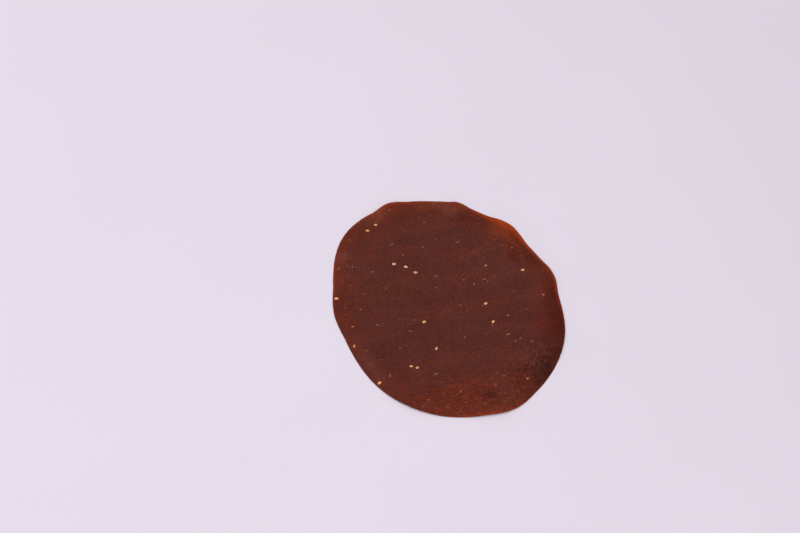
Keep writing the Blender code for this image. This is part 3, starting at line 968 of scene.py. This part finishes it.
papadum = make_by_nodes(
    "papadum_dough",
    dough_tree,
    Round_radius=ROUND_RADIUS,
    Middle_thickness=MIDDLE_THICKNESS,
    Rim_thickness=RIM_THICKNESS,
    Edge_rounding=EDGE_ROUNDING,
    Edge_unevenness=EDGE_UNEVENNESS,
    Roll_height=ROLL_HEIGHT,
    Roll_spacing=float(ROLL_SPACING),
    Dimple_depth=DIMPLE_DEPTH,
    Streak_depth=STREAK_DEPTH,
    Pucker_depth=PUCKER_DEPTH,
    Collar_height=COLLAR_HEIGHT,
    Rows=LATTICE_ROWS,
    Edge_rows=EDGE_ROWS,
    Sesame_marks=sesame_marks,
    Cumin_marks=cumin_marks,
    Dough=dough,
)
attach(papadum, "root")
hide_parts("papadum")

# Sesame: hulled seeds, cream and here and there toasted, pressed into the dough until about half
# of each shows. A seed is a smooth, flat drop with a browner pointed end.
SESAME_LENGTH = 3.3
SESAME_WIDTH = 1.95
SESAME_ABOVE = 0.5
SESAME_BELOW = 0.32
SESAME_TAPER = 0.26
SESAME_BEND = 0.0
SESAME_RIBS = 2
SESAME_RIB_DEPTH = 0.0
SESAME_SEGMENTS = 20
SUNK_SIZES = (0.86, 0.62)
TIP_START = 0.55
GRAIN_RINGS = 12
DROP_HEIGHT = 50 * MM
SESAME_PALE = (0.79, 0.39, 0.18)
SESAME_DUSTY = (0.74, 0.42, 0.3)
SESAME_TOASTED = (0.44, 0.115, 0.015)
SESAME_TIP = (0.42, 0.14, 0.03)
DOUGH_FILM = (0.13, 0.028, 0.01)
GLOWING_FILM = (0.3, 0.07, 0.01)
SESAME_TONE = (0.5, 0.5)
SESAME_RELIEF = (0.2, 0.02, 0.7, 0.05)
SEED_ROUGHNESS = (0.2, 0.4)
SESAME_GLOSS = 0.4

# The height on a seed above which it is clear of the film of dough, and the one below which the
# film hides it, each as what being sunk or toasted adds, and what there is without it
CLEAR_FROM = (0.85, 0.45)
HIDDEN_BELOW = (0.5, 0.12)

tree, given, result = new_tree(
    "Pressed grain",
    "GeometryNodeTree",
    {
        "Length": "Float",
        "Width": "Float",
        "Above": "Float",
        "Below": "Float",
        "Taper": "Float",
        "Bend": "Float",
        "Ribs": "Float",
        "Rib depth": "Float",
        "Segments": "Int",
        "Marks": "Object",
        "Dough": "Object",
        "Skin": "Material",
    },
    {"Geometry": "Geometry"},
)
grain_tree = tree

# One grain, lying along X with its pointed end at +X
ball = place(tree, "GeometryNodeMeshUVSphere", Segments=given["Segments"], Rings=GRAIN_RINGS)
ball = ball.outputs["Mesh"]
axes = place(tree, "ShaderNodeSeparateXYZ", Vector=place(tree, "GeometryNodeInputPosition").outputs[0])
flank = axes.outputs["X"]
up = axes.outputs["Y"]
lengthwise = axes.outputs["Z"]
girth = reckon(tree, "SUBTRACT", 1.0, reckon(tree, "MULTIPLY", lengthwise, given["Taper"]))
rib = reckon(tree, "MULTIPLY", reckon(tree, "ARCTAN2", up, flank), given["Ribs"])
rib = reckon(tree, "COSINE", rib)
girth = reckon(tree, "MULTIPLY", girth, reckon(tree, "MULTIPLY_ADD", rib, given["Rib depth"], 1.0))
half_width = reckon(tree, "MULTIPLY", reckon(tree, "MULTIPLY", girth, given["Width"]), 0.5)
bow = reckon(tree, "SUBTRACT", reckon(tree, "POWER", lengthwise, 2.0), 0.5)
bow = reckon(tree, "MULTIPLY", bow, given["Bend"])
upper = reckon(tree, "GREATER_THAN", up, 0.0)
depth = reckon(tree, "SUBTRACT", given["Above"], given["Below"])
depth = reckon(tree, "MULTIPLY_ADD", depth, upper, given["Below"])
grain_at = point(
    tree,
    reckon(tree, "MULTIPLY", lengthwise, reckon(tree, "MULTIPLY", given["Length"], 0.5)),
    reckon(tree, "MULTIPLY_ADD", flank, half_width, bow),
    reckon(tree, "MULTIPLY", reckon(tree, "MULTIPLY", up, girth), depth),
)
grain, held = hold(tree, ball, Lengthwise=lengthwise, Up=up)
grain = place(tree, "GeometryNodeSetPosition", Geometry=grain, Position=enlarge(tree, grain_at, MM))
grain = grain.outputs["Geometry"]
for name, value in zip(("lengthwise", "up"), held):
    grain = store(tree, grain, name, value)

# Its places, dropped onto the dough from above and leaning as the dough does there
marks = place(tree, "GeometryNodeObjectInfo", {"transform_space": "RELATIVE"}, Object=given["Marks"])
sheet = place(tree, "GeometryNodeObjectInfo", {"transform_space": "RELATIVE"}, Object=given["Dough"])
start = add(tree, place(tree, "GeometryNodeInputPosition").outputs[0], (0, 0, DROP_HEIGHT))
drop = place(tree, "GeometryNodeRaycast", Target_Geometry=sheet.outputs["Geometry"])
feed(tree, drop.inputs["Ray Length"], 2 * DROP_HEIGHT)
feed(tree, drop.inputs["Source Position"], start)
feed(tree, drop.inputs["Ray Direction"], (0, 0, -1))
laid = place(tree, "GeometryNodeCaptureAttribute", Geometry=marks.outputs["Geometry"])
laid.capture_items.new("VECTOR", "Slope")
feed(tree, laid.inputs["Slope"], drop.outputs["Hit Normal"])
points = place(tree, "GeometryNodeSetPosition", Geometry=laid.outputs["Geometry"])
feed(tree, points.inputs["Position"], drop.outputs["Hit Position"])
points = points.outputs["Geometry"]
spin = place(tree, "FunctionNodeEulerToRotation", Euler=point(tree, 0.0, 0.0, read(tree, "turn")))
lean = place(tree, "FunctionNodeAlignRotationToVector", {"axis": "Z"})
feed(tree, lean.inputs["Rotation"], spin.outputs[0])
feed(tree, lean.inputs["Vector"], laid.outputs["Slope"])
grains = place(
    tree,
    "GeometryNodeInstanceOnPoints",
    Points=points,
    Instance=grain,
    Rotation=lean.outputs[0],
    Scale=read(tree, "size"),
).outputs[0]
grains = place(tree, "GeometryNodeRealizeInstances", Geometry=grains).outputs[0]
grains = place(tree, "GeometryNodeSetShadeSmooth", Geometry=grains).outputs[0]
grains = place(tree, "GeometryNodeSetMaterial", Geometry=grains, Material=given["Skin"]).outputs[0]
feed(tree, result["Geometry"], grains)


def coat(tree, shader, color, position, tone, roughness, gloss, relief):
    """The skin of a grain or a flake: a colour that wanders, a dull sheen and a fine relief."""
    feed(tree, shader.inputs["Base Color"], uneven(tree, color, position, *tone))
    rough = reckon(tree, "MULTIPLY_ADD", noise(tree, position), *roughness)
    feed(tree, shader.inputs["Roughness"], rough)
    shader.inputs["Specular IOR Level"].default_value = gloss
    bump_by(tree, shader, milled(tree, position, *relief))


sesame_skin, tree, shader = new_material("sesame")
position = position_in_mm(tree)
tone = stored(tree, "tone")
sunk = smooth_step(tree, stored(tree, "size"), *SUNK_SIZES)
color = blend(tree, sunk, SESAME_PALE, SESAME_DUSTY)
color = blend(tree, tone, color, SESAME_TOASTED)
tip = smooth_step(tree, stored(tree, "lengthwise"), TIP_START, 1.0)
color = blend(tree, tip, color, SESAME_TIP)
deep = reckon(tree, "MAXIMUM", sunk, tone)
clear_from = reckon(tree, "MULTIPLY_ADD", deep, *CLEAR_FROM)
hidden_below = reckon(tree, "MULTIPLY_ADD", deep, *HIDDEN_BELOW)
film = smooth_step(tree, stored(tree, "up"), clear_from, hidden_below)
color = blend(tree, film, color, blend(tree, tone, DOUGH_FILM, GLOWING_FILM))
coat(tree, shader, color, position, SESAME_TONE, SEED_ROUGHNESS, SESAME_GLOSS, SESAME_RELIEF)

sesame = make_by_nodes(
    "sesame",
    grain_tree,
    Length=SESAME_LENGTH,
    Width=SESAME_WIDTH,
    Above=SESAME_ABOVE,
    Below=SESAME_BELOW,
    Taper=SESAME_TAPER,
    Bend=SESAME_BEND,
    Ribs=float(SESAME_RIBS),
    Rib_depth=SESAME_RIB_DEPTH,
    Segments=SESAME_SEGMENTS,
    Marks=sesame_marks,
    Dough=papadum,
    Skin=sesame_skin,
)
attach(sesame, "root")

# Cumin: slim ribbed seeds turned roughly the way of rolling and sunk almost flush, so that only
# an olive back shows through a film of dough.
CUMIN_LENGTH = 4.6
CUMIN_WIDTH = 1.0
CUMIN_ABOVE = 0.22
CUMIN_BELOW = 0.3
CUMIN_TAPER = 0.15
CUMIN_BEND = 0.25
CUMIN_RIBS = 9
CUMIN_RIB_DEPTH = 0.09
CUMIN_SEGMENTS = 36
CUMIN_OLIVE = (0.38, 0.17, 0.07)
CUMIN_DARK = (0.14, 0.05, 0.015)
CUMIN_TONE = (0.6, 0.9)
CUMIN_RELIEF = (0.25, 0.03, 0.9, 0.04)
CUMIN_CLEAR_FROM = (0.6, 0.85)
CUMIN_HIDDEN_BELOW = 0.35
CUMIN_GLOSS = 0.3

cumin_skin, tree, shader = new_material("cumin")
position = position_in_mm(tree)
tone = stored(tree, "tone")
color = blend(tree, tone, CUMIN_OLIVE, CUMIN_DARK)
clear_from = reckon(tree, "MULTIPLY_ADD", tone, *CUMIN_CLEAR_FROM)
film = smooth_step(tree, stored(tree, "up"), clear_from, CUMIN_HIDDEN_BELOW)
color = blend(tree, film, color, DOUGH_FILM)
coat(tree, shader, color, position, CUMIN_TONE, SEED_ROUGHNESS, CUMIN_GLOSS, CUMIN_RELIEF)

cumin = make_by_nodes(
    "cumin",
    grain_tree,
    Length=CUMIN_LENGTH,
    Width=CUMIN_WIDTH,
    Above=CUMIN_ABOVE,
    Below=CUMIN_BELOW,
    Taper=CUMIN_TAPER,
    Bend=CUMIN_BEND,
    Ribs=float(CUMIN_RIBS),
    Rib_depth=CUMIN_RIB_DEPTH,
    Segments=CUMIN_SEGMENTS,
    Marks=cumin_marks,
    Dough=papadum,
    Skin=cumin_skin,
)
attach(cumin, "root")

# Chilli: flakes of dried red skin, thin and crumpled, one bright and one browned in drying. The
# roller pressed them in flush, so they show as colour and hardly stand out.
CHILLI_LENGTH = 2.5
CHILLI_WIDTH = 1.8
CHILLI_ABOVE = 0.16
CHILLI_BELOW = 0.3
CHILLI_TAPER = 0.2
CHILLI_BEND = 0.3
CHILLI_CORNERS = 3
CHILLI_CORNER_DEPTH = 0.16
CHILLI_SEGMENTS = 24
CHILLI_RED = (0.2, 0.022, 0.018)
CHILLI_BROWNED = (0.05, 0.005, 0.001)
CHILLI_TONE = (0.5, 0.9)
CHILLI_RELIEF = (0.3, 0.04, 0.8, 0.06)
CHILLI_ROUGHNESS = (0.2, 0.35)
CHILLI_GLOSS = 0.25

chilli_skin, tree, shader = new_material("chilli")
position = position_in_mm(tree)
color = blend(tree, stored(tree, "tone"), CHILLI_RED, CHILLI_BROWNED)
coat(tree, shader, color, position, CHILLI_TONE, CHILLI_ROUGHNESS, CHILLI_GLOSS, CHILLI_RELIEF)

chilli = make_by_nodes(
    "chilli",
    grain_tree,
    Length=CHILLI_LENGTH,
    Width=CHILLI_WIDTH,
    Above=CHILLI_ABOVE,
    Below=CHILLI_BELOW,
    Taper=CHILLI_TAPER,
    Bend=CHILLI_BEND,
    Ribs=float(CHILLI_CORNERS),
    Rib_depth=CHILLI_CORNER_DEPTH,
    Segments=CHILLI_SEGMENTS,
    Marks=chilli_marks,
    Dough=papadum,
    Skin=chilli_skin,
)
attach(chilli, "root")

for marks in (sesame_marks, cumin_marks, chilli_marks):
    bpy.data.objects.remove(marks)

# The table is a sheet of pale lilac paper that runs out past the picture, a hair below the disc
# so that the two don't share a plane. The light is a large soft box far off in front, a small
# faint one over the disc and the pale walls of the room.
FLOOR_REACH = 3.0
FLOOR_GAP = 0.02
FLOOR_COLOR = (0.776, 0.708, 0.791)
FLOOR_TONE = (180.0, 0.05)
FLOOR_ROUGHNESS = 0.85
FLOOR_GLOSS = 0.2
WALL_COLOR = (0.93, 0.92, 0.98)
WALL_LIGHT = 0.39

# Each soft box: where it stands and the length of its side in m, and its power in W
FRONT_BOX = ((-1.0, -2.4, 4.6), 3.6, 217.0)
BACK_BOX = ((-0.2, 0.06, 1.3), 0.4, 0.75)

paper, tree, shader = new_material("paper")
color = uneven(tree, FLOOR_COLOR, position_in_mm(tree), *FLOOR_TONE)
feed(tree, shader.inputs["Base Color"], color)
shader.inputs["Roughness"].default_value = FLOOR_ROUGHNESS
shader.inputs["Specular IOR Level"].default_value = FLOOR_GLOSS
floor_mesh = bpy.data.meshes.new("floor")
corners = ((-1, -1), (1, -1), (1, 1), (-1, 1))
corners = [(x * FLOOR_REACH, y * FLOOR_REACH, -FLOOR_GAP * MM) for x, y in corners]
floor_mesh.from_pydata(corners, [], [(0, 1, 2, 3)])
floor_mesh.materials.append(paper)
floor = bpy.data.objects.new("floor", floor_mesh)
bpy.context.scene.collection.objects.link(floor)
floor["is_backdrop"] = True

world = bpy.data.worlds.new("room")
world.use_nodes = True
walls = world.node_tree.nodes["Background"]
feed(world.node_tree, walls.inputs["Color"], WALL_COLOR)
feed(world.node_tree, walls.inputs["Strength"], WALL_LIGHT)
bpy.context.scene.world = world


def soft_box(name, stands_at, side, power):
    """A square soft light aimed at the middle of the disc."""
    data = bpy.data.lights.new(name, "AREA")
    data.size = side
    data.energy = power
    box = bpy.data.objects.new(name, data)
    box.location = stands_at
    box.rotation_euler = (-Vector(stands_at)).to_track_quat("-Z", "Y").to_euler()
    box.visible_camera = False
    bpy.context.scene.collection.objects.link(box)


soft_box("front_box", *FRONT_BOX)
soft_box("back_box", *BACK_BOX)
bpy.context.scene.view_settings.view_transform = "Standard"

# The camera stands about a metre off, looking down at 55 degrees and a little to the left of the
# disc, with the picture rolled about its own middle.
CAMERA_PLACE = Vector((2.0, -584.3, 856.0)) * MM
CAMERA_AIM = Vector((-43.7, 2.4, 0.0)) * MM
CAMERA_ROLL = 32.27
CAMERA_LENS = 64.9

camera_data = bpy.data.cameras.new("camera")
camera_data.lens = CAMERA_LENS
camera = bpy.data.objects.new("camera", camera_data)
camera.location = CAMERA_PLACE
camera.rotation_mode = "QUATERNION"
level = (CAMERA_AIM - CAMERA_PLACE).to_track_quat("-Z", "Y")
roll = Matrix.Rotation(math.radians(CAMERA_ROLL), 3, "Z").to_quaternion()
camera.rotation_quaternion = level @ roll
bpy.context.scene.collection.objects.link(camera)
bpy.context.scene.camera = camera

low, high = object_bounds()
sizes = {"cad": [list(cad_low), list(cad_high)], "visual": [list(low), list(high)]}
